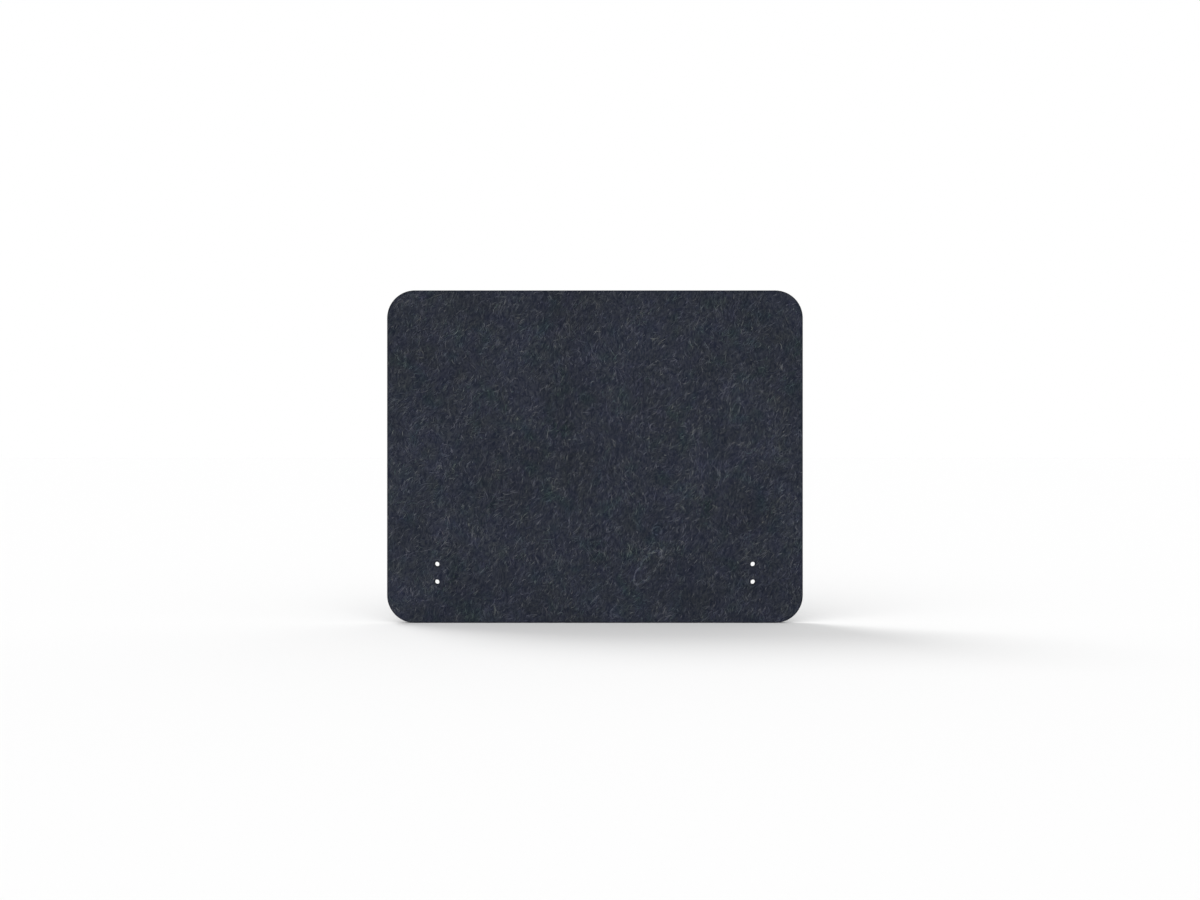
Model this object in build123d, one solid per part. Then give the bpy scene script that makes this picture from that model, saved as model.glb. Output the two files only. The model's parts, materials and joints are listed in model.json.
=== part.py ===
from build123d import *
import os

# An upright acoustic divider screen: one thin laminated felt panel with rounded
# corners and two pairs of bracket holes near its bottom edge. It stands on its
# bottom edge. The origin is in the middle of that edge, X runs along the
# screen, Z is up, and the front face looks towards -Y. Lengths are in
# millimetres.

# Outline of the panel
panel_width = 750.0
panel_height = 600.0
corner_radius = 50.0

# Plies of the panel
face_felt_thickness = 2.4
bond_web_thickness = 0.2
core_board_thickness = 6.8

# Softened outer edge that the cutter leaves on each face felt
face_edge_radius = 0.5

# Bracket holes: two pairs, one hole above the other, each pair in from a side and
# with its middle that far above the bottom edge
hole_diameter = 8.4
hole_inset_from_side = 90.0
hole_pair_height = 90.0
hole_pair_spacing = 32.0

# The plies as they are laid up, from the front face to the rear face
ply_stack = [
    ("front_face_felt", face_felt_thickness),
    ("front_bond_web", bond_web_thickness),
    ("core_board", core_board_thickness),
    ("rear_bond_web", bond_web_thickness),
    ("rear_face_felt", face_felt_thickness),
]
panel_thickness = sum(thickness for _, thickness in ply_stack)


def upright_plane(y):
    """A plane that faces the front at depth y, with its X and Y along X and Z."""
    return Plane(origin=(0, y, 0), x_dir=(1, 0, 0), z_dir=(0, -1, 0))


def panel_outline():
    """The rounded rectangle that every ply is cut to, on its bottom edge."""
    blank = RectangleRounded(panel_width, panel_height, corner_radius)
    return Pos(0, panel_height / 2) * blank


def bracket_holes():
    """The four round holes that the brackets are bolted through."""
    hole_side = panel_width / 2 - hole_inset_from_side
    hole_heights = (
        hole_pair_height - hole_pair_spacing / 2,
        hole_pair_height + hole_pair_spacing / 2,
    )
    return [
        Pos(side, height) * Circle(hole_diameter / 2)
        for side in (-hole_side, hole_side)
        for height in hole_heights
    ]


def ply(front_y, thickness):
    """One sheet of the laminate, from its front surface at front_y backwards."""
    outline = panel_outline() - bracket_holes()
    return extrude(upright_plane(front_y) * outline, amount=-thickness)


def soften_outer_edge(sheet, outer_y):
    """Rounds the edge all round the sheet's outer face, at depth outer_y."""
    outer_face = sheet.faces().sort_by(lambda face: abs(face.center().Y - outer_y))[0]
    return fillet(outer_face.outer_wire().edges(), radius=face_edge_radius)


def build_plies():
    """Every ply in its place, as a dictionary from its name to its solid."""
    plies = {}
    front_y = -panel_thickness / 2
    for name, thickness in ply_stack:
        plies[name] = ply(front_y, thickness)
        front_y += thickness
    for name, outer_y in (
        ("front_face_felt", -panel_thickness / 2),
        ("rear_face_felt", panel_thickness / 2),
    ):
        plies[name] = soften_outer_edge(plies[name], outer_y)
    return plies


os.makedirs("parts", exist_ok=True)
for name, sheet in build_plies().items():
    sheet.label = name
    export_step(sheet, f"parts/{name}.step")
    size = sheet.bounding_box().size
    print(f"{name}: {size.X:.1f} x {size.Y:.1f} x {size.Z:.1f} mm")
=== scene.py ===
# %% [markdown]
# An acoustic divider screen: a thin board of marled navy felt with rounded corners,
# standing on its long edge. Its shape is simple, so nearly all of its looks are in
# the felt: a mat of polyester fibres that a needle machine has tangled, most of them
# lying a little off the upright, navy with pale grey and teal ones blended in.
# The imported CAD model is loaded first. The pieces made here take their sizes from it,
# so that they fit the solids that they stand for.

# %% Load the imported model
import json
import math

import bmesh
import bpy
import numpy as np
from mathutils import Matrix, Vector, noise


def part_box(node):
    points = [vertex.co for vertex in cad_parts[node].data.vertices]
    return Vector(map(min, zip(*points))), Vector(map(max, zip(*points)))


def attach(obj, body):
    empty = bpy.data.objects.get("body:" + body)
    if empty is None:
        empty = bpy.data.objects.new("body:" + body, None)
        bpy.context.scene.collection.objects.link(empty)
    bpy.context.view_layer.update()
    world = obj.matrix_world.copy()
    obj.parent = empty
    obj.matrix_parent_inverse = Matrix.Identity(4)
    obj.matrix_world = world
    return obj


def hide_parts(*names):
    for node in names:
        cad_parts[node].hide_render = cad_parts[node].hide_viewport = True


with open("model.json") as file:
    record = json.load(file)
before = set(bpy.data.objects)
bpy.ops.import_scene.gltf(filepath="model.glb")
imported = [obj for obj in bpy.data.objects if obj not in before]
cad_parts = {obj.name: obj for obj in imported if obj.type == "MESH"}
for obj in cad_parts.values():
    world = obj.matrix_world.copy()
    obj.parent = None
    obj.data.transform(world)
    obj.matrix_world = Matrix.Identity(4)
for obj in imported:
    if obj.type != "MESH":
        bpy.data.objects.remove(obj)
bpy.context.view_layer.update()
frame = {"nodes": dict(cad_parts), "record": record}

print("CAD nodes:", ", ".join(sorted(frame["nodes"])))

# %% [markdown]
# The sizes that everything else hangs on. The boxes of the felts and the core come
# from the CAD nodes and the bracket holes from the record's bolt patterns. The corners
# and the softened edge are the ones that the CAD model has. Lengths are in metres, and
# `MM` keeps small ones readable.

# %% Read the sizes of the board
MM = 0.001

front_low, front_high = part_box("front_face_felt")
rear_low, rear_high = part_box("rear_face_felt")
core_low, core_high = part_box("core_board")

panel_width = front_high.x - front_low.x
panel_height = front_high.z - front_low.z
corner_radius = 50 * MM
soft_edge = 0.5 * MM

holes = []
for mount in frame["record"]["mounts"]:
    if mount["kind"] == "bolt_pattern":
        side, _, middle = mount["pos_m"]
        half_pitch = mount["dims"]["spacing_y_mm"] * MM / 2
        hole_radius = mount["dims"]["hole_r_mm"] * MM
        holes += [(side, middle - half_pitch), (side, middle + half_pitch)]

print(f"board {panel_width:.3f} x {panel_height:.3f} m, holes at", holes)

# %% [markdown]
# The camera stands level in front of the board. Its distance follows from how wide
# the board looks in a 1200 x 900 picture, and its place sideways and upwards from
# where the board's left, right and bottom edges lie in that picture.

# %% Set up the camera
picture_width_px = 1200
picture_height_px = 900
left_edge_px = 387.1
right_edge_px = 802.85
bottom_edge_px = 622.95
lens_mm = 46.7
sensor_mm = 36.0
far_clip = 500.0

focal_px = lens_mm / sensor_mm * picture_width_px
metres_per_px = panel_width / (right_edge_px - left_edge_px)
camera_distance = focal_px * metres_per_px
camera_side = (picture_width_px - left_edge_px - right_edge_px) / 2 * metres_per_px
camera_height = (bottom_edge_px - picture_height_px / 2) * metres_per_px


def deselect():
    """Leaves edit mode and selects nothing, so that the next operator starts clean."""
    if bpy.context.mode != "OBJECT":
        bpy.ops.object.mode_set(mode="OBJECT")
    bpy.ops.object.select_all(action="DESELECT")


deselect()
bpy.ops.object.camera_add(
    location=(camera_side, front_low.y - camera_distance, camera_height),
    rotation=(math.radians(90), 0, 0),
)
camera = bpy.context.object
camera.name = "camera"
camera.data.lens = lens_mm
camera.data.sensor_width = sensor_mm
camera.data.clip_end = far_clip
bpy.context.scene.camera = camera
print(f"camera {camera_distance:.3f} m away, {camera_height:.3f} m up")

# %% [markdown]
# Shader nodes are easier to read as sums than as boxes and wires. A `Field` is a
# value that changes over a surface. Adding or multiplying fields adds the Math nodes
# behind the scenes, and `Shader.node` adds any other node.

# %% A small language for shader maths
class Field:
    """One output socket of a shader, which can be used in sums."""

    def __init__(self, shader, socket):
        self.shader = shader
        self.socket = socket

    def math(self, operation, *others):
        return self.shader.node("ShaderNodeMath", {"operation": operation}, [self, *others])

    def __add__(self, other):
        return self.math("ADD", other)

    def __sub__(self, other):
        return self.math("SUBTRACT", other)

    def __rsub__(self, other):
        return self.shader.node("ShaderNodeMath", {"operation": "SUBTRACT"}, [other, self])

    def __mul__(self, other):
        return self.math("MULTIPLY", other)

    def __truediv__(self, other):
        return self.math("DIVIDE", other)

    __radd__ = __add__
    __rmul__ = __mul__

    def at_least(self, low):
        return self.math("MAXIMUM", low)

    def between(self, low, high):
        """0 below low, 1 above high and a smooth ramp between them."""
        settings = {"interpolation_type": "SMOOTHSTEP"}
        return self.shader.node("ShaderNodeMapRange", settings, {0: self, 1: low, 2: high})


class Shader:
    """The node tree of one material, with a Principled shader at its end."""

    def __init__(self, name):
        self.material = bpy.data.materials.new(name)
        self.material.use_nodes = True
        self.tree = self.material.node_tree
        self.surface = self.tree.nodes["Principled BSDF"]

    def node(self, kind, settings=None, sockets=None, output=0):
        """Adds a node, sets it up and returns one of its outputs as a Field."""
        made = self.tree.nodes.new(kind)
        for name, value in (settings or {}).items():
            setattr(made, name, value)
        places = sockets if isinstance(sockets, dict) else dict(enumerate(sockets or []))
        for place, value in places.items():
            self.connect(made.inputs[place], value)
        return Field(self, made.outputs[output])

    def connect(self, socket, value):
        """Links a Field to a socket, or sets the socket to a number, place or colour."""
        if isinstance(value, Field):
            self.tree.links.new(value.socket, socket)
        elif isinstance(socket.default_value, float):
            socket.default_value = value
        else:
            socket.default_value = tuple(value)[: len(socket.default_value)]

    def place(self):
        """The Object coordinates of the surface, in metres."""
        return self.node("ShaderNodeTexCoord", output=3)

    def split(self, vector):
        """The X, Y and Z of a vector, as three Fields."""
        first = self.node("ShaderNodeSeparateXYZ", {}, [vector])
        return [Field(self, socket) for socket in first.socket.node.outputs]

    def vectors(self, operation, *values, output=0):
        """Vector Math on places or colours."""
        return self.node("ShaderNodeVectorMath", {"operation": operation}, values, output)

    def scaled(self, vector, level):
        """A place or a colour multiplied by a number or a Field."""
        return self.node("ShaderNodeVectorMath", {"operation": "SCALE"}, {0: vector, 3: level})

    def blend(self, share, start, end):
        """A colour that goes from start to end as share goes from 0 to 1."""
        sockets = {"Factor": share, 6: start, 7: end}
        return self.node("ShaderNodeMix", {"data_type": "RGBA"}, sockets, output=2)

    def finish(self, colour, roughness, height=None, depth=0.0, sheen=0.0, specular=0.2):
        """Wires the surface and returns the material."""
        self.connect(self.surface.inputs["Base Color"], colour)
        self.connect(self.surface.inputs["Roughness"], roughness)
        self.surface.inputs["Sheen Weight"].default_value = sheen
        self.surface.inputs["Specular IOR Level"].default_value = specular
        if height is not None:
            bump = self.node("ShaderNodeBump", {}, {"Height": height, "Distance": depth})
            self.connect(self.surface.inputs["Normal"], bump)
        return self.material


def shade(hex_code):
    """A screen colour such as 30343d as the linear red, green and blue of a shader."""
    shares = [int(hex_code[i : i + 2], 16) / 255 for i in (0, 2, 4)]
    linear = [s / 12.92 if s <= 0.04045 else ((s + 0.055) / 1.055) ** 2.4 for s in shares]
    return (*linear, 1.0)


white = (1.0, 1.0, 1.0, 1.0)
print("navy 30343d is", [round(part, 4) for part in shade("30343d")])

# %% [markdown]
# The studio: a pale world that lights the screen evenly from all round, a soft lamp
# high behind its left end, which throws the faint wedge of shadow that runs forward to
# the right, and a very broad one in front, which fills the felt's face and shades the
# floor just behind the board. Together they light a level surface to about the colour
# that it is written in. The camera sees the world as plain white, whatever its
# strength, through Light Path.

# %% Light the studio
world_light = 0.535

world = bpy.data.worlds.new("studio")
world.use_nodes = True
sky = world.node_tree.nodes["Background"]
rays = world.node_tree.nodes.new("ShaderNodeLightPath")
seen = None
for ray in ("Is Camera Ray", "Is Glossy Ray", "Is Transmission Ray"):
    either = world.node_tree.nodes.new("ShaderNodeMath")
    either.operation = "MAXIMUM"
    world.node_tree.links.new(rays.outputs[ray], either.inputs[0])
    either.inputs[1].default_value = world_light
    if seen:
        world.node_tree.links.new(seen, either.inputs[1])
    seen = either.outputs[0]
world.node_tree.links.new(seen, sky.inputs["Strength"])
sky.inputs["Color"].default_value = white
bpy.context.scene.world = world
print("world light", world_light)

# %% Hang the two lamps
lamp_reach = 2.0
lamp_rise = 3.0


def soft_lamp(name, height_angle, turn, width_angle, floor_light):
    """A far lamp at that height and turn from +X, which lights the floor that much."""
    aside = lamp_reach * math.cos(math.radians(turn))
    behind = lamp_reach * math.sin(math.radians(turn))
    deselect()
    bpy.ops.object.light_add(
        type="SUN",
        location=(aside, behind, lamp_rise),
        rotation=(math.radians(90 - height_angle), 0, math.radians(turn + 90)),
    )
    lamp = bpy.context.object
    lamp.name = name
    lamp.data.energy = floor_light * math.pi / math.sin(math.radians(height_angle))
    lamp.data.angle = math.radians(width_angle)
    towards = lamp.matrix_world.to_3x3() @ Vector((0, 0, -1))
    print(name, "shines towards", [round(c, 2) for c in towards])


soft_lamp("soft_back_lamp", height_angle=49.8, turn=133.4, width_angle=29.2, floor_light=0.279)
soft_lamp("broad_front_lamp", height_angle=49.0, turn=257.7, width_angle=62.6, floor_light=0.316)

# %% Lay the floor
floor_side = 120.0
floor_colour = (0.88, 0.88, 0.88, 1.0)

deselect()
bpy.ops.mesh.primitive_plane_add(size=floor_side, location=(0, 0, 0))
floor = bpy.context.object
floor.name = "studio_floor"
floor.data.materials.append(Shader("floor_white").finish(floor_colour, 1.0, specular=0.0))
print(f"floor {floor_side:.0f} m square")

# %% [markdown]
# All five plies share one outline, a rounded rectangle with four round holes. These
# helpers know it: `on_cut_edge` moves a point onto the cut edge beside it, and
# `depth_inside` says how far inside the felt a point lies, for a number or a whole
# array. The rings of the edge, the fading of the relief and the fibres all use them.

# %% Know the outline
middle_height = panel_height / 2
corner_side = panel_width / 2 - corner_radius
corner_rise = panel_height / 2 - corner_radius


def nearest_hole(x, z):
    """The middle of the nearest hole, and the distance to it."""
    place = min(holes, key=lambda hole: math.hypot(x - hole[0], z - hole[1]))
    return Vector(place), math.hypot(x - place[0], z - place[1])


def on_cut_edge(x, z, inset):
    """The point beside (x, z) that lies inset inside the felt, from the outline or a hole."""
    hole, away = nearest_hole(x, z)
    if away < 2 * hole_radius:
        return hole + (Vector((x, z)) - hole).normalized() * (hole_radius + inset)
    start = Vector((
        max(-corner_side, min(corner_side, x)),
        middle_height + max(-corner_rise, min(corner_rise, z - middle_height)),
    ))
    return start + (Vector((x, z)) - start).normalized() * (corner_radius - inset)


def depth_inside(x, z):
    """How far points of the felt are from the nearest cut edge, negative off the felt."""
    past_side = np.maximum(np.abs(x) - corner_side, 0)
    past_rise = np.maximum(np.abs(z - middle_height) - corner_rise, 0)
    to_corner = corner_radius - np.hypot(past_side, past_rise)
    to_sides = np.minimum(panel_width / 2 - np.abs(x), middle_height - np.abs(z - middle_height))
    to_outline = np.where(to_corner < corner_radius, to_corner, to_sides)
    to_hole = np.min([np.hypot(x - side, z - up) for side, up in holes], axis=0) - hole_radius
    return np.minimum(to_outline, to_hole)


print(f"depth inside at the middle: {depth_inside(0.0, middle_height) / MM:.0f} mm")


# %% [markdown]
# A die cuts the real sheet out of a wide roll. The same is done here: a fine grid is
# extruded into a slab, and Booleans cut it with a rounded prism and four cylinders.
# The prism starts as a plane whose corners are bevelled, which gives true arcs.

# %% Helpers for selecting and settling
flat_within = MM / 20


def select_faces(piece, wanted):
    """In edit mode, selects the faces for which wanted(face) is true."""
    bpy.ops.mesh.select_mode(type="FACE")
    mesh = bmesh.from_edit_mesh(piece.data)
    for face in mesh.faces:
        face.select_set(bool(wanted(face)))
    bmesh.update_edit_mesh(piece.data)


def select_open_edges(piece):
    """In edit mode, selects the edges that belong to one face only."""
    bpy.ops.mesh.select_mode(type="EDGE")
    mesh = bmesh.from_edit_mesh(piece.data)
    for edge in mesh.edges:
        edge.select_set(edge.is_boundary)
    bmesh.update_edit_mesh(piece.data)


def select_only(piece):
    """Selects a piece and nothing else, and makes it the active one."""
    deselect()
    piece.select_set(True)
    bpy.context.view_layer.objects.active = piece


def settle(piece):
    """Moves a piece's place into its mesh, so that its object sits at the origin."""
    select_only(piece)
    bpy.ops.object.transform_apply(location=True, rotation=True, scale=True)


def apply_modifier(piece, kind, **settings):
    """Gives a piece a modifier with those settings, and applies it."""
    select_only(piece)
    modifier = piece.modifiers.new(kind.lower(), kind)
    for name, value in settings.items():
        setattr(modifier, name, value)
    bpy.ops.object.modifier_apply(modifier=modifier.name)


# %% Helpers for sheets and slabs
def flat_plane(name, y, width, height, x_cuts=0, z_cuts=0):
    """An upright grid or plane in the middle of the board, at depth y."""
    deselect()
    place = {"location": (0, y, middle_height), "rotation": (math.radians(90), 0, 0)}
    if x_cuts:
        bpy.ops.mesh.primitive_grid_add(
            x_subdivisions=x_cuts, y_subdivisions=z_cuts, size=1, enter_editmode=True, **place
        )
    else:
        bpy.ops.mesh.primitive_plane_add(size=1, enter_editmode=True, **place)
    bpy.context.object.name = name
    bpy.ops.transform.resize(value=(width, 1, height))
    return bpy.context.object


def thicken(piece, depth):
    """In edit mode, extrudes the whole sheet by depth along Y and closes it."""
    bpy.ops.mesh.extrude_region_move(TRANSFORM_OT_translate={"value": (0, depth, 0)})
    bpy.ops.mesh.select_all(action="SELECT")
    bpy.ops.mesh.normals_make_consistent(inside=False)
    settle(piece)


# %% Cut a grid to the outline
felt_grid = 2.6 * MM
corner_segments = 24
hole_segments = 40
cutter_overrun = 20 * MM
slab_depth = cutter_overrun / 4


def punch_out(sheet, x, y, z, radius):
    """Cuts a round hole through a slab."""
    deselect()
    bpy.ops.mesh.primitive_cylinder_add(
        vertices=hole_segments,
        radius=radius,
        depth=cutter_overrun,
        location=(x, y, z),
        rotation=(math.radians(90), 0, 0),
    )
    punch = bpy.context.object
    apply_modifier(sheet, "BOOLEAN", operation="DIFFERENCE", object=punch, solver="MANIFOLD")
    bpy.data.objects.remove(punch)


def cut_face(name, y, inset, grid_step):
    """A flat grid at depth y, cut to the outline but for inset all round, in edit mode."""
    margin = 2 * grid_step
    cells = [round((size + margin) / grid_step) for size in (panel_width, panel_height)]
    sheet = flat_plane(name, y, panel_width + margin, panel_height + margin, *cells)
    thicken(sheet, slab_depth)

    prism = flat_plane("prism", y, panel_width - 2 * inset, panel_height - 2 * inset)
    bpy.ops.mesh.bevel(
        affect="VERTICES", offset=corner_radius - inset, segments=corner_segments, profile=0.5
    )
    bpy.ops.transform.translate(value=(0, -cutter_overrun / 2, 0))
    thicken(prism, cutter_overrun)
    apply_modifier(sheet, "BOOLEAN", operation="INTERSECT", object=prism, solver="MANIFOLD")
    bpy.data.objects.remove(prism)
    for x, z in holes:
        punch_out(sheet, x, y, z, hole_radius + inset)

    bpy.ops.object.mode_set(mode="EDIT")
    select_faces(sheet, lambda face: abs(face.calc_center_median().y - y) > flat_within)
    bpy.ops.mesh.delete(type="FACE")
    return sheet


# %% [markdown]
# The cut face then grows its edge. Its open rims, the outline and the four holes, are
# extruded ring by ring: round the softened edge that the cutter leaves, then down the
# wall to the bond web. Cut felt isn't dead flat, so each ring of the wall wanders by a
# few hundredths of a millimetre. The open back is filled at the end.

# %% Extrude the cut edge
wall_wander = 0.09 * MM
wander_size = 1.7 * MM
wander_stretch = 3


def add_ring(piece, inset, y, wander=0.0):
    """In edit mode, extrudes the selected rims to a ring at that inset and depth."""
    bpy.ops.mesh.extrude_edges_move()
    mesh = bmesh.from_edit_mesh(piece.data)
    for vertex in mesh.verts:
        if vertex.select:
            spot = Vector((vertex.co.x, wander_stretch * y, vertex.co.z)) / wander_size
            depth = inset + wander * abs(noise.noise(spot))
            place = on_cut_edge(vertex.co.x, vertex.co.z, depth)
            vertex.co = (place.x, y, place.y)
    bmesh.update_edit_mesh(piece.data)


def soften_rim(piece, outer_y, inwards):
    """In edit mode, takes the rims of a cut face round the softened edge."""
    for turn in (30, 60, 90):
        across = soft_edge * (1 - math.sin(math.radians(turn)))
        deep = soft_edge * (1 - math.cos(math.radians(turn)))
        add_ring(piece, across, outer_y + inwards * deep)


def grow_wall(piece, start_y, end_y, rings):
    """In edit mode, takes the rims along the wall in uneven rings and closes the piece."""
    for step in range(1, rings + 1):
        y = start_y + (end_y - start_y) * step / rings
        add_ring(piece, 0, y, wall_wander * (step < rings))
    bpy.ops.mesh.fill(use_beauty=False)
    bpy.ops.mesh.select_all(action="SELECT")
    bpy.ops.mesh.normals_make_consistent(inside=False)
    bpy.ops.object.mode_set(mode="OBJECT")


def report(piece):
    """Prints a piece's size, and whether it is closed."""
    mesh = bmesh.new()
    mesh.from_mesh(piece.data)
    open_edges = sum(not edge.is_manifold for edge in mesh.edges)
    volume = mesh.calc_volume(signed=True)
    mesh.free()
    triangles = sum(len(face.vertices) - 2 for face in piece.data.polygons)
    size = [round(side / MM, 2) for side in piece.dimensions]
    print(f"{piece.name}: {size} mm, {triangles} triangles, {open_edges} open edges, {volume:.3g} m3")


# %% [markdown]
# Needled felt swells and dips softly where the fibres bunch up. Two Displace
# modifiers push the face in and out by a fraction of a millimetre, one in broad swells
# and one in fine lumps. A vertex group fades them out at the cut edge, which the
# cutter has pressed flat.

# %% Raise the relief of the face
relief_fade = 3 * MM

# The title, size, height and detail of each pattern.
relief_patterns = (
    ("swells", 34 * MM, 0.5 * MM, 1),
    ("lumps", 6 * MM, 0.35 * MM, 2),
)


def raise_relief(piece, outer_y):
    """Gives the outer face its soft swells and lumps, and applies them."""
    group = piece.vertex_groups.new(name="face")
    for vertex in piece.data.vertices:
        x, y, z = vertex.co
        if abs(y - outer_y) < flat_within:
            group.add([vertex.index], min(1, depth_inside(x, z) / relief_fade), "REPLACE")
    for title, size, height, detail in relief_patterns:
        pattern = bpy.data.textures.new(title, "CLOUDS")
        pattern.noise_scale = size
        pattern.noise_depth = detail
        apply_modifier(
            piece,
            "DISPLACE",
            texture=pattern,
            texture_coords="LOCAL",
            direction="Y",
            strength=height,
            mid_level=0.5,
            vertex_group=group.name,
        )
        bpy.data.textures.remove(pattern)
    piece.vertex_groups.clear()


# %% Make the two face felts
felt_rings = 4


def face_felt(name, outer_y, inner_y):
    """A face felt, from its outer face to the side that is bonded to the core."""
    inwards = math.copysign(1, inner_y - outer_y)
    piece = cut_face(name, outer_y, soft_edge, felt_grid)
    select_open_edges(piece)
    soften_rim(piece, outer_y, inwards)
    grow_wall(piece, outer_y + inwards * soft_edge, inner_y, felt_rings)
    raise_relief(piece, outer_y)
    settle(piece)
    report(piece)
    return piece


front_felt = face_felt("front_felt", front_low.y, front_high.y)
rear_felt = face_felt("rear_felt", rear_high.y, rear_low.y)

# %% [markdown]
# The core board is pressed from the same fibres, so its cut edge is a band of thin
# layers. Only that band is ever seen, between the bond webs, and in the holes. It is
# made like the felts, from a coarse grid whose rims are first divided finely, and its
# wall has three times as many rings.

# %% Make the core board
core_grid = 26 * MM
core_rings = 12
core_rim_cuts = 11

core = cut_face("core_fibre_board", core_low.y, 0, core_grid)
select_open_edges(core)
bpy.ops.mesh.subdivide(number_cuts=core_rim_cuts)
select_open_edges(core)
grow_wall(core, core_low.y, core_high.y, core_rings)
settle(core)
report(core)


# %% [markdown]
# The patterns of the felt are drawn in millimetres on its face, across and up. Fibre is
# noise stretched along its lean, on a plane that slow noise has bent first, so that the
# streaks curve as needled fibre does. `drifted` bends the plane, `turned` lines it up
# with the fibres, and `cloud` is the noise itself.

# %% Helpers for fibrous patterns
rear_shift_across = 1370.0
rear_shift_up = 910.0


def face_plane(shader):
    """Millimetres across the face, moved along on the rear so that the sides differ."""
    x, y, z = shader.split(shader.place())
    is_rear = y.math("GREATER_THAN", 0.0)
    across = x / MM + is_rear * rear_shift_across
    up = z / MM + is_rear * rear_shift_up
    return shader.node("ShaderNodeCombineXYZ", {}, [across, up, 0.0])


def drifted(shader, plane, size, reach):
    """The plane bent by slow noise of that size, by about that reach."""
    sockets = {"Vector": plane, "Scale": 1 / size, "Detail": 1.0}
    drift = shader.node("ShaderNodeTexNoise", {"noise_dimensions": "2D"}, sockets, output=1)
    centred = shader.vectors("SUBTRACT", drift, (0.5, 0.5, 0.5))
    return shader.vectors("ADD", plane, shader.scaled(centred, reach))


def turned(shader, plane, angle, length, width, middle=(0, 0)):
    """The plane about a middle, turned to that angle, in those lengths and widths."""
    sockets = {
        "Vector": plane,
        "Location": (*middle, 0),
        "Rotation": (0, 0, math.radians(angle)),
        "Scale": (length, width, 1),
    }
    return shader.node("ShaderNodeMapping", {"vector_type": "TEXTURE"}, sockets)


def cloud(shader, plane, size, detail=2.0, roughness=0.5, offset=0.0):
    """Plain soft noise of that size, about 0 and mostly within 0.5."""
    sockets = {
        "Vector": plane,
        "W": offset,
        "Scale": 1 / size,
        "Detail": detail,
        "Roughness": roughness,
    }
    return shader.node("ShaderNodeTexNoise", {"noise_dimensions": "4D"}, sockets) - 0.5


# %% [markdown]
# The blend is never quite even. A slow field takes it from a cooler navy to a warmer
# grey and back, and here and there a patch has more teal fibre and is darker. Where
# such patches lie on the front is taken from the photograph, as ovals that lean with
# the fibres. The one just right of the largest curl is painted shadow that the raised curl casts.
# Painted light makes the felt a little paler towards its foot and darker towards its top, and painted
# shade darkens a narrow band along the outline and the holes. The tint that comes of it multiplies
# the ground and the strands alike, so that both change together.

# %% Unevenness of the blend
# The size and the reach of a drift, in millimetres.
slow_drift = (90.0, 30.0)
ragged_drift = (16.0, 16.0)

warm_tint = (1.105, 1.15, 0.98, 1.0)
cool_tint = (1.035, 1.042, 1.145, 1.0)
cool_size = 30.0
cool_range = (-0.25, 0.25)
teal_tint = (0.71, 0.95, 0.87, 1.0)
teal_size = 34.0
teal_range = (-0.02, 0.3)
teal_pull = 0.23
broad_size = 110.0
broad_contrast = 0.6
patch_size = 26.0
patch_contrast = 0.2
place_contrast = 0.16
# Painted light: how much paler the foot is than the top, to even out the light that falls on the
# face.
painted_foot_light = 0.13

# %% Places of the patches
# The x, z, half length, half width and lean of each, in millimetres and degrees.
teal_and_shadow_places = (
    (-58, 352, 44, 17, 62),
    (-322, 504, 34, 15, 62),
    (-190, 208, 46, 12, 66),
    (6, 134, 30, 12, 70),
    (72, 562, 22, 15, 80),
    (203, 205, 40, 14, 70),
    (366, 478, 44, 15, 70),
    (-258, 76, 34, 12, 40),
    # Painted shadow: this last oval, just right of the largest curl, stands for the shadow that the
    # raised curl casts.
    (129, 97, 22, 6, 82),
)
pale_places = (
    (124, 556, 30, 20, 60),
    (61, 470, 26, 22, 120),
    (312, 322, 34, 26, 50),
    (-174, 38, 30, 20, 50),
    (16, 368, 24, 20, 60),
    (-242, 524, 28, 20, 70),
    (-165, 478, 22, 18, 80),
    (268, 402, 34, 16, 45),
)
oval_fade = (0.2, 1.5)


def near_places(shader, plane, places):
    """1 in the middles of the ovals, fading to 0 a little outside them."""
    nearest = 0.0
    for x, z, long, short, lean in places:
        oval = turned(shader, plane, lean, long, short, (x, z))
        away = shader.vectors("LENGTH", oval, output=1)
        nearest = (1.0 - away.between(*oval_fade)).at_least(nearest)
    return nearest


print(len(teal_and_shadow_places), "darker teal places and", len(pale_places), "paler ones")

# %% Painted shade along the cut edge
# How wide the painted shade along the cut edge is, and how much darker it makes the felt.
edge_shade_width = 3.2 * MM
edge_shade_darkening = 0.45


def painted_edge_shade(shader):
    """1 at the outline and the holes, fading to 0 inside the felt."""
    x, _, z = shader.split(shader.place())
    past_side = (x.math("ABSOLUTE") - corner_side).at_least(0.0)
    past_rise = ((z - middle_height).math("ABSOLUTE") - corner_rise).at_least(0.0)
    depth = corner_radius - (past_side * past_side + past_rise * past_rise).math("SQRT")
    for side, up in holes:
        aside, above = x - side, z - up
        to_hole = (aside * aside + above * above).math("SQRT") - hole_radius
        depth = depth.math("MINIMUM", to_hole)
    return 1.0 - depth.between(0.0, edge_shade_width)


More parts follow.
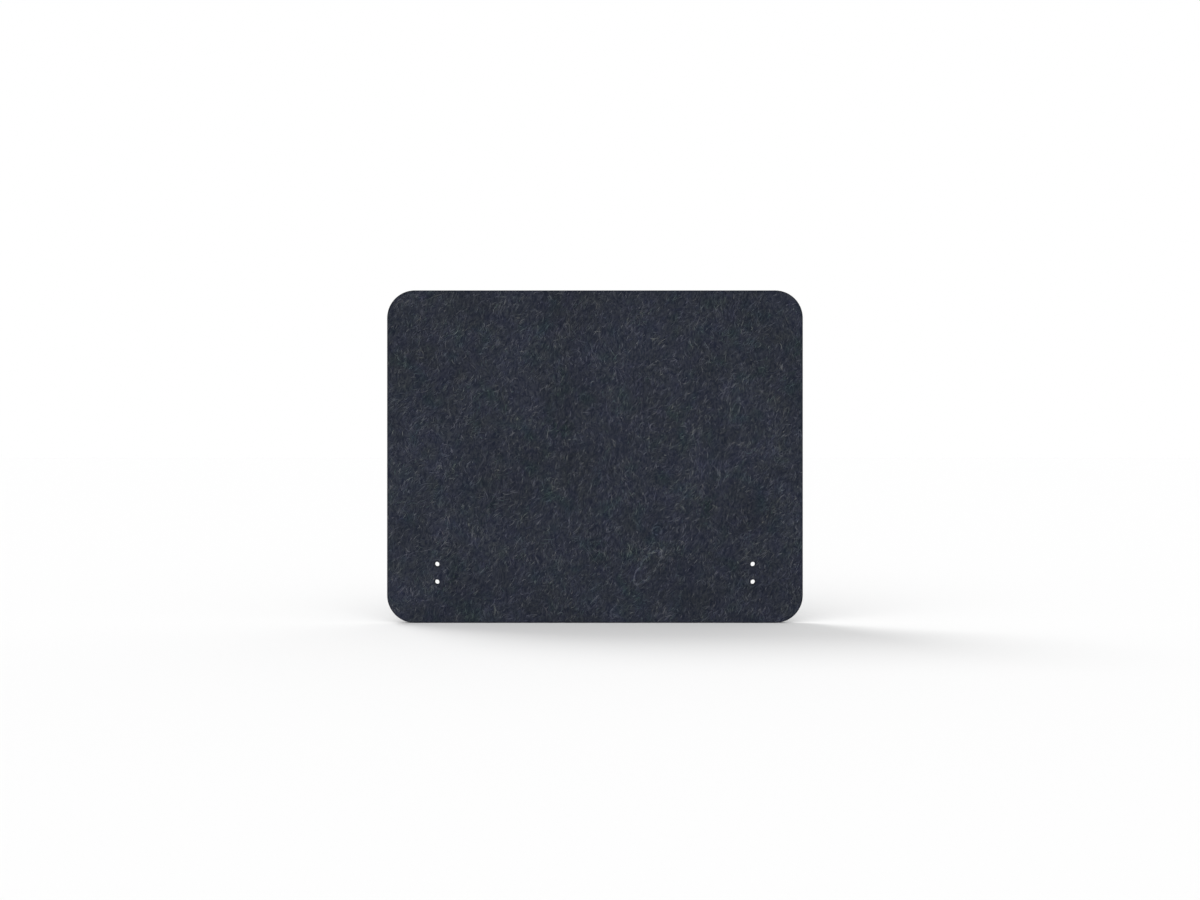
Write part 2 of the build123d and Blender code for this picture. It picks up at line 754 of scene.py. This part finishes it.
# %% Tint of the blend
def blend_and_painted_light_tint(shader, plane):
    """What the unevenness of the blend, with the painted light at the foot and the painted shade
    along the cut edge, multiplies a colour by.
    """
    slow = drifted(shader, plane, *slow_drift)
    ragged = drifted(shader, plane, *ragged_drift)
    # The teal places include the painted shadow beside the largest curl.
    teal_and_shadow_place = near_places(shader, ragged, teal_and_shadow_places)
    pale_place = near_places(shader, ragged, pale_places)

    cool = cloud(shader, slow, cool_size, detail=4.0, roughness=0.65, offset=21.0)
    tint = shader.blend(cool.between(*cool_range), warm_tint, cool_tint)
    teal = cloud(shader, slow, teal_size, offset=43.0) + teal_and_shadow_place * teal_pull
    teal_part = shader.blend(teal.between(*teal_range), white, teal_tint)
    tint = shader.vectors("MULTIPLY", tint, teal_part)

    height = shader.split(shader.place())[2]
    # Painted light: paler towards the foot and darker towards the top of the board.
    lift = (0.5 - height / panel_height) * painted_foot_light
    broad = cloud(shader, slow, broad_size, detail=1.0, offset=9.0) * broad_contrast
    small = cloud(shader, slow, patch_size, offset=12.0) * patch_contrast
    level = 1.0 + broad + small + (pale_place - teal_and_shadow_place) * place_contrast + lift
    # Painted shade: a dark band along the outline and the holes.
    return shader.scaled(tint, level * (1.0 - painted_edge_shade(shader) * edge_shade_darkening))


# %% [markdown]
# The felt's own finish is the ground under the strands. It is mixed as the real blend
# is: a dark navy ground, and a share of pale grey fibre in it. The share varies in
# streaks along the lean of the fibres and upright, in lumps, and in fine hairs that
# lean one way and cross the other. The same patterns raise the bump.

# %% Felt finish
ground_shade = shade("131827")
pale_shade = shade("8a8c93")
curling_drift = (22.0, 6.0)
fine_drift = (7.0, 2.0)

# The lean of each kind of fibre in degrees, and its length and width in millimetres.
steep_streaks = (68.0, 10.0, 3.4)
upright_streaks = (92.0, 10.0, 3.4)
leaning_hairs = (62.0, 4.0, 0.2)
crossing_hairs = (112.0, 3.0, 0.17)
upright_part = 0.5
crossing_part = 0.7
lump_size = 7.0

pale_everywhere = 0.05
pale_in_streaks = 0.29
pale_in_lumps = 0.05
pale_in_hairs = 0.24
felt_roughness = 0.93
hair_roughness = 0.1
hair_height = 0.4
felt_bump = 0.3 * MM


def fibres(shader, plane, kind, detail, offset):
    """Noise drawn out along fibres of that kind."""
    return cloud(shader, turned(shader, plane, *kind), 1.0, detail=detail, offset=offset)


def felt_finish(name):
    shader = Shader(name)
    plane = face_plane(shader)
    slow = drifted(shader, plane, *slow_drift)
    bent = drifted(shader, drifted(shader, slow, *curling_drift), *fine_drift)

    steep = fibres(shader, bent, steep_streaks, detail=1.5, offset=0.0)
    upright = fibres(shader, bent, upright_streaks, detail=1.5, offset=7.3)
    streaks = steep + upright * upright_part
    lumps = cloud(shader, slow, lump_size, detail=1.0, offset=15.0)
    leaning = fibres(shader, bent, leaning_hairs, detail=2.0, offset=50.0)
    crossing = fibres(shader, bent, crossing_hairs, detail=2.0, offset=70.0)
    hair = leaning + crossing * crossing_part

    pale = pale_everywhere + streaks * pale_in_streaks + lumps * pale_in_lumps
    pale = pale + hair * pale_in_hairs
    mixed = shader.blend(pale.at_least(0.0), ground_shade, pale_shade)
    colour = shader.vectors("MULTIPLY", mixed, blend_and_painted_light_tint(shader, plane))
    height = streaks + hair * hair_height + lumps
    roughness = felt_roughness + hair * hair_roughness
    return shader.finish(colour, roughness, height, depth=felt_bump, sheen=0.03)


felt = felt_finish("marled_navy_felt")
print("felt finish:", len(felt.node_tree.nodes), "nodes")

# %% [markdown]
# The cut edge shows fibre ends instead of lying fibres: fine dashes along the edge in
# thin layers, one above the other through the thickness. The same finish, paler or
# darker, serves the felts and the denser core.

# %% Cut edge finish
dash_length = 2.4 * MM
fibre_end = (0.5 * MM, 0.35 * MM, 0.5 * MM)
felt_layer = 0.35 * MM
core_layer = 0.22 * MM
edge_pale = 0.35
pale_in_dashes = 1.3
pale_in_ends = 1.2
edge_roughness = 0.95
edge_bump = 0.25 * MM


def cut_edge_finish(name, dark, pale, layer):
    shader = Shader(name)
    place = shader.place()
    settings = {"vector_type": "TEXTURE"}
    lengths = {"Vector": place, "Scale": (dash_length, layer, dash_length)}
    dashes = cloud(shader, shader.node("ShaderNodeMapping", settings, lengths), 1.0)
    points = {"Vector": place, "Scale": fibre_end}
    ends = cloud(shader, shader.node("ShaderNodeMapping", settings, points), 1.0, detail=1.0)
    share = (edge_pale + dashes * pale_in_dashes + ends * pale_in_ends).at_least(0.0)
    colour = shader.blend(share, shade(dark), shade(pale))
    return shader.finish(colour, edge_roughness, dashes + ends, depth=edge_bump)


felt_edge = cut_edge_finish("felt_cut_edge", "14161d", "4a4d58", felt_layer)
core_edge = cut_edge_finish("pressed_fibre_edge", "12141a", "3f424c", core_layer)
print("cut edge finish:", len(felt_edge.node_tree.nodes), "nodes")


# %% Dress the felts and the core
def dress(piece, finishes, pick):
    """Gives a piece its finishes, and each face the one whose number pick(face) says."""
    piece.data.materials.clear()
    for finish in finishes:
        piece.data.materials.append(finish)
    for face in piece.data.polygons:
        face.material_index = pick(face)


def on_wall(face):
    """1 for a face of the cut edge and 0 for one that looks forwards or back."""
    return int(abs(face.normal.y) < 0.5)


for piece, node in ((front_felt, "front_face_felt"), (rear_felt, "rear_face_felt")):
    dress(piece, [felt, felt_edge], on_wall)
    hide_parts(node)
    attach(piece, "root")
    print(piece.name, "has", sum(face.material_index for face in piece.data.polygons), "edge faces")

dress(core, [core_edge], lambda face: 0)
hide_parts("core_board")
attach(core, "root")

# %% [markdown]
# The bond webs are melted film between the plies, a dark line a fifth of a millimetre
# thick at the cut edge. Their CAD solids have the right shape, so they stay and only
# get a finish: slightly glossy where the film shows, dull where fibres are stuck in it.

# %% Finish the bond webs
stuck_size = 0.9 * MM
stuck_range = (0.4, 0.65)
film_roughness = 0.45
stuck_roughness = 0.4
film_bump = 0.05 * MM

web = Shader("bond_web_film")
stuck_fibres = cloud(web, web.place(), stuck_size) + 0.5
web_colour = web.blend(stuck_fibres.between(*stuck_range), shade("16181e"), shade("2b2e36"))
web_roughness = film_roughness + stuck_fibres * stuck_roughness
web_material = web.finish(web_colour, web_roughness, stuck_fibres, depth=film_bump)
for node in ("front_bond_web", "rear_bond_web"):
    frame["nodes"][node].data.materials.clear()
    frame["nodes"][node].data.materials.append(web_material)
print("bond web finish:", len(web.tree.nodes), "nodes")

# %% [markdown]
# The fibres themselves. A picture of fibres on a flat face stays flat, so the top ones
# are real: one strand is modelled, a sphere of three segments that becomes a thin
# spindle, and thousands of copies are bent along paths over the felt. First comes the
# way that they lie. Most lean a little to the right of upright, and slow noise turns
# them here and there. In a few places the needles have rolled them into a curl, where
# they follow an oval.

# %% Model one strand
deselect()
bpy.ops.mesh.primitive_uv_sphere_add(segments=3, ring_count=4, radius=1)
strand = bpy.context.object
strand_points = np.array([vertex.co[:] for vertex in strand.data.vertices])
strand_share = np.arccos(np.clip(-strand_points[:, 2], -1, 1)) / math.pi
strand_faces = [tuple(face.vertices) for face in strand.data.polygons]
strand_map = np.array([spot.uv[:] for spot in strand.data.uv_layers.active.data])
bpy.data.objects.remove(strand)
print(f"one strand: {len(strand_points)} points, {len(strand_faces)} faces")

# %% How the fibres curl
noise_gain = 3


def slow_noise(x, z, size, layer):
    """Smooth noise at each of the points, about 0 and mostly within 2."""
    spots = (Vector((a / size, b / size, layer)) for a, b in zip(x, z))
    return noise_gain * np.array([noise.noise(spot) for spot in spots])


class Curl:
    """An oval at (x, z), of two half widths, whose long side leans by that many degrees.

    Fibres follow it within about rim of its line, and glow is how much paler they are.
    """

    def __init__(self, x, z, long, short, lean, rim, glow):
        self.middle = np.array((x, z)) * MM
        self.halves = np.array((long, short)) * MM
        self.lean = math.radians(lean)
        self.rim = rim * MM
        self.glow = glow

    def look(self, x, z):
        """How near each point is to the line, whether it is inside, and the line's angle."""
        dx, dz = x - self.middle[0], z - self.middle[1]
        u = (dx * math.cos(self.lean) + dz * math.sin(self.lean)) / self.halves[0]
        v = (dz * math.cos(self.lean) - dx * math.sin(self.lean)) / self.halves[1]
        out = np.hypot(u, v)
        near = np.exp(-(((out - 1) * self.halves.mean() / self.rim) ** 2))
        along = np.arctan2(u * self.halves[1], -v * self.halves[0]) + self.lean
        return near, out < 1, along

    def rim_places(self, apart):
        """Points all round the line, about that far from each other."""
        turn = np.arange(0, 2 * math.pi, apart / self.halves.mean())
        u, v = self.halves[0] * np.cos(turn), self.halves[1] * np.sin(turn)
        x = self.middle[0] + u * math.cos(self.lean) - v * math.sin(self.lean)
        z = self.middle[1] + u * math.sin(self.lean) + v * math.cos(self.lean)
        return x, z


# %% Places of the curls
# The x, z, half length, half width, lean, rim and glow of each, in millimetres and degrees.
front_curls = [
    Curl(95, 100, 37, 13, 53, 3, 0.38),
    Curl(-268, 312, 10, 10, 0, 3, 0.1),
    Curl(112, 166, 8, 7, 40, 3, 0.1),
    Curl(150, 196, 13, 7, 60, 3, 0.0),
    Curl(256, 376, 22, 11, 75, 4, 0.0),
    Curl(-36, 478, 12, 9, 70, 3, 0.0),
    Curl(38, 22, 13, 7, 50, 3, 0.0),
]
rear_curls = [
    Curl(-150, 140, 30, 15, 58, 4, 0.4),
    Curl(210, 330, 12, 9, 80, 3, 0.1),
    Curl(40, 480, 16, 9, 65, 4, 0.0),
    Curl(-255, 420, 10, 10, 0, 3, 0.1),
    Curl(140, 90, 12, 8, 35, 3, 0.0),
]
print(len(front_curls), "curls in front and", len(rear_curls), "behind")

# %% [markdown]
# Laying the strands is numpy work on all of them at once. They lie in wisps of a few.
# The lines of the curls get their wisps first, all the way round, and the others start
# anywhere on the face, more often where the felt is thick with fibre. The strands of a
# wisp are followed in a few straight steps that keep turning, and one that comes within
# half a millimetre of the cut edge is dropped, because the cutter leaves none over it.

# %% Choose where the wisps lie
tries_each = 6
clump_broad = 0.75
clump_broad_size = 50 * MM
clump_small = 0.5
clump_small_size = 14 * MM
rim_crowding = 1.5
rim_nearness = 0.5
hollow_share = 0.8
full_quantile = 0.98
rim_spacing = 10 * MM


def wisp_places(draw, count, curls, layer):
    """The middles of that many wisps, more of them where the felt is thick."""
    tries = tries_each * count
    x = draw.uniform(-panel_width / 2, panel_width / 2, tries)
    z = draw.uniform(0, panel_height, tries)
    broad = clump_broad * slow_noise(x, z, clump_broad_size, layer)
    small = clump_small * slow_noise(x, z, clump_small_size, layer)
    thick = np.exp(broad + small)
    for curl in curls:
        near, inside, _ = curl.look(x, z)
        hollow = inside & (near < rim_nearness)
        thick *= (1 + rim_crowding * near) * np.where(hollow, hollow_share, 1.0)
    kept = draw.uniform(0, 1, tries) < thick / np.quantile(thick, full_quantile)
    rims = [curl.rim_places(rim_spacing) for curl in curls]
    x = np.concatenate([*(rim[0] for rim in rims), x[kept]])
    z = np.concatenate([*(rim[1] for rim in rims), z[kept]])
    return x[:count], z[:count]


# %% Choose which way the wisps run
lean_angle = 65.5
lean_spread = 22.0
bend_spread = 0.75
turn_reach = 13
catch_range = (0.2, 0.8)
rim_spread = 0.25

# The size of each noise that turns the fibres, and its layer.
broad_turn = (90 * MM, 5.0)
small_turn = (30 * MM, 9.0)


def wisp_headings(draw, x, z, spans, curls):
    """Which way each wisp runs at its middle, and how far it turns along its length."""
    turning = turn_reach * slow_noise(x, z, *broad_turn)
    turning = turning + turn_reach * slow_noise(x, z, *small_turn)
    angle = np.radians(lean_angle + turning + lean_spread * draw.standard_normal(len(x)))
    bending = bend_spread * draw.standard_normal(len(x))
    for curl in curls:
        near, _, along = curl.look(x, z)
        caught = near > draw.uniform(*catch_range, len(x))
        angle = np.where(caught, along + rim_spread * draw.standard_normal(len(x)), angle)
        bending = np.where(caught, spans / curl.halves.mean(), bending)
    return angle, bending


# %% Follow the strands of each wisp
steps = 4
length_spread = 0.4
shortest = 3 * MM
longest = 30 * MM
strand_range = (0.7, 1.2)
ahead_spread = 0.15
skew_spread = 0.1
wobble_spread = 0.25
edge_margin = 0.5 * MM


def strand_paths(draw, count, make, curls, layer):
    """Flat paths of about that many strands, and the number of the wisp each belongs to."""
    x, z = wisp_places(draw, count // make["in_wisp"], curls, layer)
    spans = draw.lognormal(math.log(make["length"]), length_spread, len(x))
    spans = np.clip(spans, shortest, longest)
    angle, bending = wisp_headings(draw, x, z, spans, curls)
    wisp = np.repeat(np.arange(len(x)), make["in_wisp"])
    aside, ahead, skew, wobble = draw.standard_normal((4, len(wisp)))
    across = aside * make["apart"]
    onward = ahead * ahead_spread * spans[wisp]
    x = x[wisp] + onward * np.cos(angle[wisp]) - across * np.sin(angle[wisp])
    z = z[wisp] + onward * np.sin(angle[wisp]) + across * np.cos(angle[wisp])
    spans = spans[wisp] * draw.uniform(*strand_range, len(wisp))
    turn = bending[wisp] / steps
    heading = angle[wisp] + skew_spread * skew - bending[wisp] / 2

    path = np.zeros((len(wisp), steps + 1, 3))
    for step in range(steps):
        stride = np.stack([np.cos(heading), 0 * heading, np.sin(heading)], 1)
        path[:, step + 1] = path[:, step] + stride * spans[:, None] / steps
        heading = heading + turn + wobble_spread * wobble * math.cos(math.pi * step / steps)
    path += np.stack([x, 0 * x, z], 1)[:, None] - path.mean(1, keepdims=True)
    kept = (depth_inside(path[..., 0], path[..., 2]) > edge_margin).all(1)
    return path[kept], wisp[kept]


# %% [markdown]
# The paths are then dropped onto the relief by ray casts, so that a strand's ends lie in the felt and
# its middle arches up a little. The three-sided section of the modelled strand is set up around each
# path. Strands of a wisp share most of their colour. Each strand has a cell of its own in the piece's
# map.

# %% Give the strands their body
drop_height = 3 * MM
width_spread = 0.3


def drop_onto(path, felt, outer_y, rise):
    """Sets the depths of paths, so that they lie on the felt with their middles raised."""
    outward = math.copysign(1, outer_y)
    start_y = outer_y + outward * drop_height
    arch = np.sin(np.linspace(0, math.pi, path.shape[1]))
    for fibre, top in zip(path, rise):
        for place, lift in zip(fibre, arch * top):
            start = (place[0], start_y, place[2])
            met, ground, _, _ = felt.ray_cast(start, (0, -outward, 0))
            place[1] = (ground.y if met else outer_y) + outward * lift


def strand_bodies(draw, path, make):
    """The points of the modelled strand, set around each path."""
    along = np.gradient(path, axis=1)
    along /= np.linalg.norm(along, axis=2, keepdims=True)
    across = np.cross(along, (0.0, 1.0, 0.0))
    across /= np.linalg.norm(across, axis=2, keepdims=True)
    up = np.cross(along, across)
    ring = np.rint(strand_share * (path.shape[1] - 1)).astype(int)
    widths = draw.lognormal(math.log(make["half_width"]), width_spread, len(path))
    sideways = across[:, ring] * strand_points[:, 0][None, :, None]
    upwards = up[:, ring] * strand_points[:, 1][None, :, None] * make["flatness"]
    return path[:, ring] + widths[:, None, None] * (sideways + upwards)


# %% Colour the strands
wisp_part_range = (0.4, 1.0)
hollow_dimming = 0.15


def strand_colours(draw, path, wisp, shades, curls):
    """A colour for each strand, most of it shared with its wisp."""
    tones = np.array([shade(code) for _, code in shades])
    chances = np.array([chance for chance, _ in shades])
    chances = chances / chances.sum()
    shared = draw.choice(len(tones), wisp.max() + 1, p=chances)[wisp]
    own = draw.choice(len(tones), len(path), p=chances)
    part = draw.uniform(*wisp_part_range, len(path))[:, None]
    colours = tones[shared] * part + tones[own] * (1 - part)
    for curl in curls:
        near, inside, _ = curl.look(path[:, steps // 2, 0], path[:, steps // 2, 2])
        colours *= (1 + curl.glow * (near - hollow_dimming * inside))[:, None]
    return colours


# %% Copy the strand along the paths
strand_count = 10900
rise_range = (0.15, 1.0)
map_name = "OFBake"
map_cells = math.ceil(math.sqrt(strand_count))
cell_border = 0.1


def strand_mesh(name, points, colours):
    """A mesh of strands with those points, which carries their colours and their map."""
    number, size = points.shape[:2]
    faces = [
        tuple(corner + size * copy for corner in face)
        for copy in range(number)
        for face in strand_faces
    ]
    mesh = bpy.data.meshes.new(name)
    mesh.from_pydata(points.reshape(-1, 3), [], faces)
    layer = mesh.attributes.new("fibre_colour", "FLOAT_COLOR", "POINT")
    layer.data.foreach_set("color", np.repeat(colours, size, axis=0).ravel())
    cell = np.stack(np.divmod(np.arange(number), map_cells), 1)[:, None]
    spots = (cell + cell_border + (1 - 2 * cell_border) * strand_map[None]) / map_cells
    mesh.uv_layers.new(name=map_name).data.foreach_set("uv", spots.astype(np.float32).ravel())
    return mesh


def lay_strands(name, felt, outer_y, curls, seed, make):
    """A piece of copies of the strand, bent along paths over a felt."""
    draw = np.random.default_rng(seed)
    path, wisp = strand_paths(draw, strand_count, make, curls, seed)
    drop_onto(path, felt, outer_y, draw.uniform(*rise_range, len(path)) * make["arch"])
    points = strand_bodies(draw, path, make)
    colours = strand_colours(draw, path, wisp, make["shades"], curls)
    piece = bpy.data.objects.new(name, strand_mesh(name, points, colours))
    bpy.context.collection.objects.link(piece)
    report(piece)
    return piece


# %% [markdown]
# A strand stands for a wisp of several fibres, so its finish takes its colour from the
# strand and draws finer hairs along it, with the strand's own map, and small flecks.

# %% Strand finish
hairs_across = 11.0
hairs_along = 1.4
fleck_size = 1.1 * MM
hair_contrast = 2.2
fleck_contrast = 0.6
darkest_level = 0.25
strand_roughness = 0.85
strand_bump = 0.05 * MM


def strand_finish(name):
    shader = Shader(name)
    tone = shader.node("ShaderNodeAttribute", {"attribute_name": "fibre_colour"})
    unrolled = shader.node("ShaderNodeUVMap", {"uv_map": map_name})
    density = (map_cells * hairs_across, map_cells * hairs_along, 1.0)
    stretched = shader.node("ShaderNodeMapping", {}, {"Vector": unrolled, "Scale": density})
    hairs = cloud(shader, stretched, 1.0, detail=1.0)
    flecks = cloud(shader, shader.place(), fleck_size, detail=1.0, offset=4.0)
    level = 1.0 + hairs * hair_contrast + flecks * fleck_contrast
    # The tint brings the felt's painted light and shade onto the strands too.
    tinted = shader.vectors("MULTIPLY", tone, blend_and_painted_light_tint(shader, face_plane(shader)))
    colour = shader.scaled(tinted, level.at_least(darkest_level))
    return shader.finish(colour, strand_roughness, hairs, depth=strand_bump, sheen=0.02)


strand_look = strand_finish("loose_fibres")
print("strand finish:", len(strand_look.node_tree.nodes), "nodes")

# %% [markdown]
# Three layers lie on each face: flat dark wisps underneath, paler ones over them, and
# thin loose fibres on top. In each, `in_wisp` strands make a wisp and lie about `apart`
# from each other. `length` and `half_width` are those of a typical strand, `flatness`
# is its height by its width, and `arch` is the most that its middle rises. `shades`
# gives the chance of each colour.

# %% Describe the three layers of strands
under_wisps = {
    "in_wisp": 3,
    "apart": 0.7 * MM,
    "length": 8.5 * MM,
    "half_width": 0.44 * MM,
    "flatness": 0.5,
    "arch": 0.2 * MM,
    "shades": ((0.32, "141929"), (0.35, "2c3040"), (0.25, "414451"), (0.08, "5a5c66")),
}
mid_wisps = {
    "in_wisp": 3,
    "apart": 0.75 * MM,
    "length": 9.5 * MM,
    "half_width": 0.43 * MM,
    "flatness": 0.6,
    "arch": 0.3 * MM,
    "shades": ((0.22, "1e2333"), (0.33, "353848"), (0.32, "494b57"), (0.13, "61626b")),
}
loose_fibres = {
    "in_wisp": 2,
    "apart": 0.5 * MM,
    "length": 9 * MM,
    "half_width": 0.34 * MM,
    "flatness": 0.8,
    "arch": 0.45 * MM,
    "shades": (
        (0.30, "373a48"),
        (0.35, "4e505b"),
        (0.12, "4a565b"),
        (0.15, "64656c"),
        (0.04, "6d6b70"),
        (0.04, "7b7c7f"),
    ),
}

# %% Lay the three layers of strands
front_seed = 5
rear_seed = 25
layers = {"under_wisps": under_wisps, "mid_wisps": mid_wisps, "loose_fibres": loose_fibres}
sides = (
    ("front", front_felt, front_low.y, front_curls, front_seed),
    ("rear", rear_felt, rear_high.y, rear_curls, rear_seed),
)
for side, face, outer_y, curls, seed in sides:
    for number, (title, make) in enumerate(layers.items()):
        piece = lay_strands(f"{side}_{title}", face, outer_y, curls, seed + number, make)
        piece.data.materials.append(strand_look)
        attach(piece, "root")

# %% [markdown]
# Each face felt was die-cut from a flat roll and bonded down as it lay: its flat size is the panel's
# own, and its area is less by the corners and the holes.

cut_area = panel_width * panel_height - (4 - math.pi) * corner_radius**2
cut_area -= len(holes) * math.pi * hole_radius**2
print(f"each felt was cut from {cut_area:.4f} square metres")

# %% [markdown]
# The last step sets the view transform to Standard.

# %% Finish the scene
bpy.context.scene.view_settings.view_transform = "Standard"
